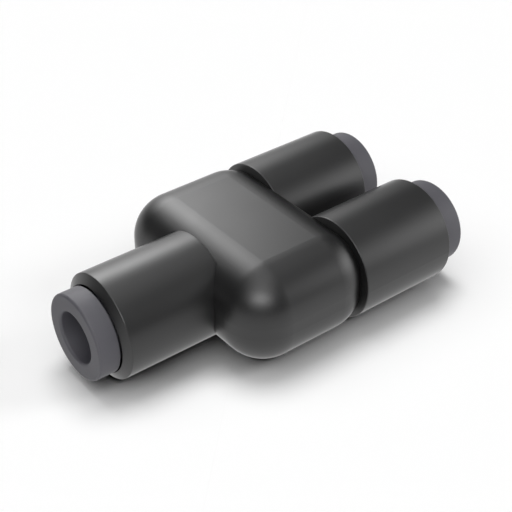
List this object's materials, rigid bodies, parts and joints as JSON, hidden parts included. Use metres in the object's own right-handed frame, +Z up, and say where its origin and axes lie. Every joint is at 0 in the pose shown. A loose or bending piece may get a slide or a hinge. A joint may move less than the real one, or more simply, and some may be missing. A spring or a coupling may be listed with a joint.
{
  "type": "tubing y connector",
  "caption": "Push-in Y connector for small plastic tube: rounded block with round cartridge sleeves and grey release collars.",
  "frame": {"origin": "under the middle of the connector, on the surface that its round sleeves lie on", "axes": "+X from the inlet to the two outlets, along the tubes; +Y from the right outlet to the left one; +Z up"},
  "size_m": [0.0314, 0.0184, 0.0085],
  "materials": {
    "housing_nylon": "black glass-filled nylon with a fine satin grain",
    "sleeve_nylon": "black glass-filled nylon, a little smoother than the block",
    "collar_plastic": "dark grey acetal, satin",
    "retainer_plastic": "dark acetal, as moulded",
    "grip_steel": "stamped stainless spring steel",
    "backup_plastic": "natural acetal, as moulded",
    "seal_rubber": "black nitrile rubber"
  },
  "bodies": {
    "body": {"housing": "housing_nylon", "inlet_sleeve": "sleeve_nylon", "inlet_retaining_ring": "retainer_plastic", "inlet_grip_ring": "grip_steel", "inlet_backup_ring": "backup_plastic", "inlet_tube_seal": "seal_rubber", "inlet_spigot_seal": "seal_rubber", "left_outlet_sleeve": "sleeve_nylon", "left_outlet_retaining_ring": "retainer_plastic", "left_outlet_grip_ring": "grip_steel", "left_outlet_backup_ring": "backup_plastic", "left_outlet_tube_seal": "seal_rubber", "left_outlet_spigot_seal": "seal_rubber", "right_outlet_sleeve": "sleeve_nylon", "right_outlet_retaining_ring": "retainer_plastic", "right_outlet_grip_ring": "grip_steel", "right_outlet_backup_ring": "backup_plastic", "right_outlet_tube_seal": "seal_rubber", "right_outlet_spigot_seal": "seal_rubber"},
    "inlet_collar": {"inlet_release_collar": "collar_plastic"},
    "left_outlet_collar": {"left_outlet_release_collar": "collar_plastic"},
    "right_outlet_collar": {"right_outlet_release_collar": "collar_plastic"}
  },
  "joints": [
    {"name": "inlet_collar_slide", "type": "slide", "parent": "body", "child": "inlet_collar", "axis": [1, 0, 0], "range_m": [0, 0.0009], "stiffness_N_per_m": 500, "deforming": ["inlet_grip_ring"]},
    {"name": "left_outlet_collar_slide", "type": "slide", "parent": "body", "child": "left_outlet_collar", "axis": [-1, 0, 0], "range_m": [0, 0.0009], "stiffness_N_per_m": 500, "deforming": ["left_outlet_grip_ring"]},
    {"name": "right_outlet_collar_slide", "type": "slide", "parent": "body", "child": "right_outlet_collar", "axis": [-1, 0, 0], "range_m": [0, 0.0009], "stiffness_N_per_m": 500, "deforming": ["right_outlet_grip_ring"]}
  ]
}
